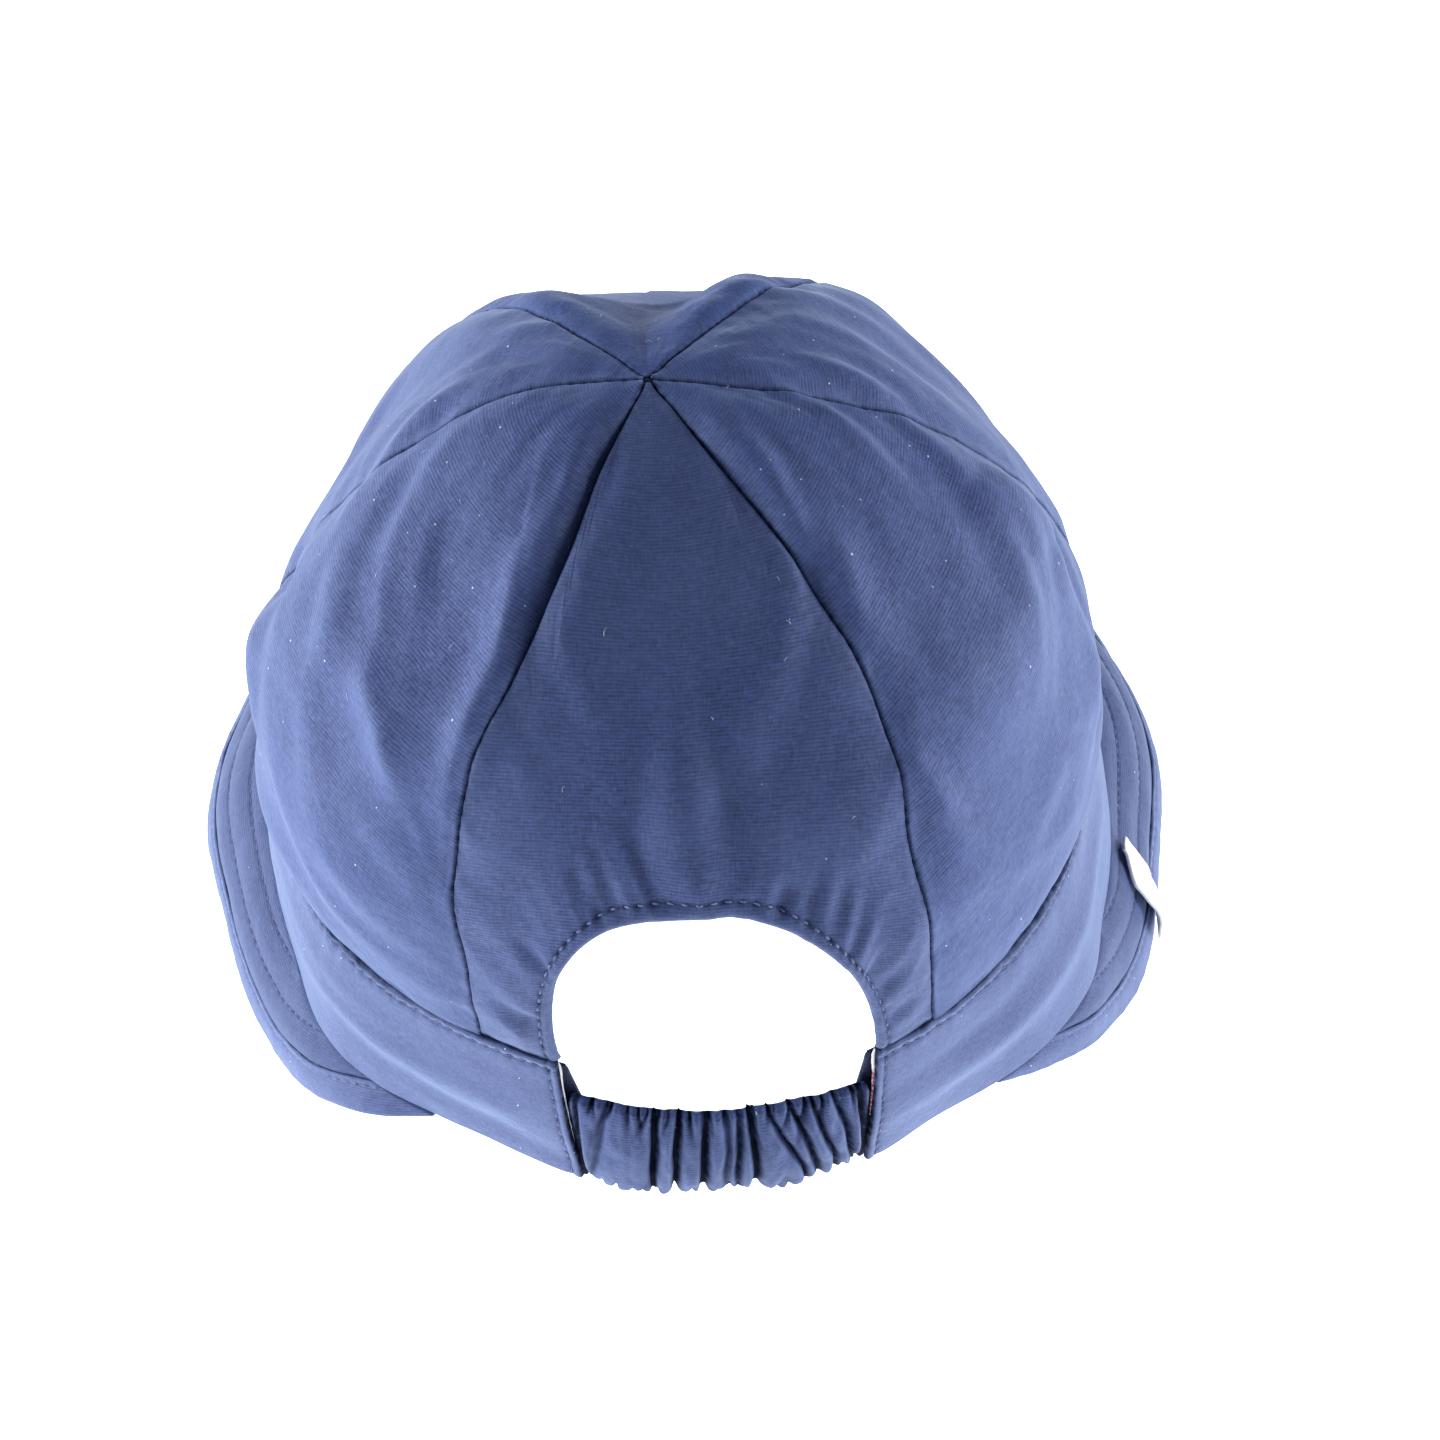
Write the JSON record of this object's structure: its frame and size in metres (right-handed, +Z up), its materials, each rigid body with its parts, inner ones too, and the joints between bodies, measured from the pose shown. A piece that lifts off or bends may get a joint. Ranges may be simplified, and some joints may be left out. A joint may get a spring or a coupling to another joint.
{
  "type": "peaked sun cap",
  "caption": "Soft cloth sun cap with a domed panelled crown, upright band, drooping quilted brim with a longer front peak, arched back opening and gathered elastic strap.",
  "frame": {"origin": "on the surface the cap stands on, under the middle of the cap's overall box", "axes": "+Z up through the crown, -Y towards the peak, +Y towards the back opening, +X towards the wearer's left"},
  "size_m": [0.2056, 0.2278, 0.1535],
  "materials": {
    "crown_cloth": "matt woven cloth",
    "back_cloth": "matt woven cloth",
    "band_cloth": "matt woven cloth",
    "strap_cloth": "matt woven cloth",
    "brim_cloth": "matt woven cloth",
    "white_tape": "matt woven cloth",
    "red_tape": "matt woven cloth",
    "dark_facing": "matt woven cloth",
    "label_tape": "matt woven cloth"
  },
  "bodies": {
    "root": {"crown_panel_back": "back_cloth", "crown_panel_back_right": "crown_cloth", "crown_panel_front_right": "crown_cloth", "crown_panel_front": "crown_cloth", "crown_panel_front_left": "crown_cloth", "crown_panel_back_left": "crown_cloth", "band": "band_cloth", "elastic_strap": "strap_cloth", "lining_edge_left": "white_tape", "lining_edge_right": "red_tape", "inner_facing_left": "dark_facing", "inner_facing_right": "dark_facing", "brim": "brim_cloth", "brim_border": "brim_cloth", "label": "label_tape"}
  },
  "joints": []
}
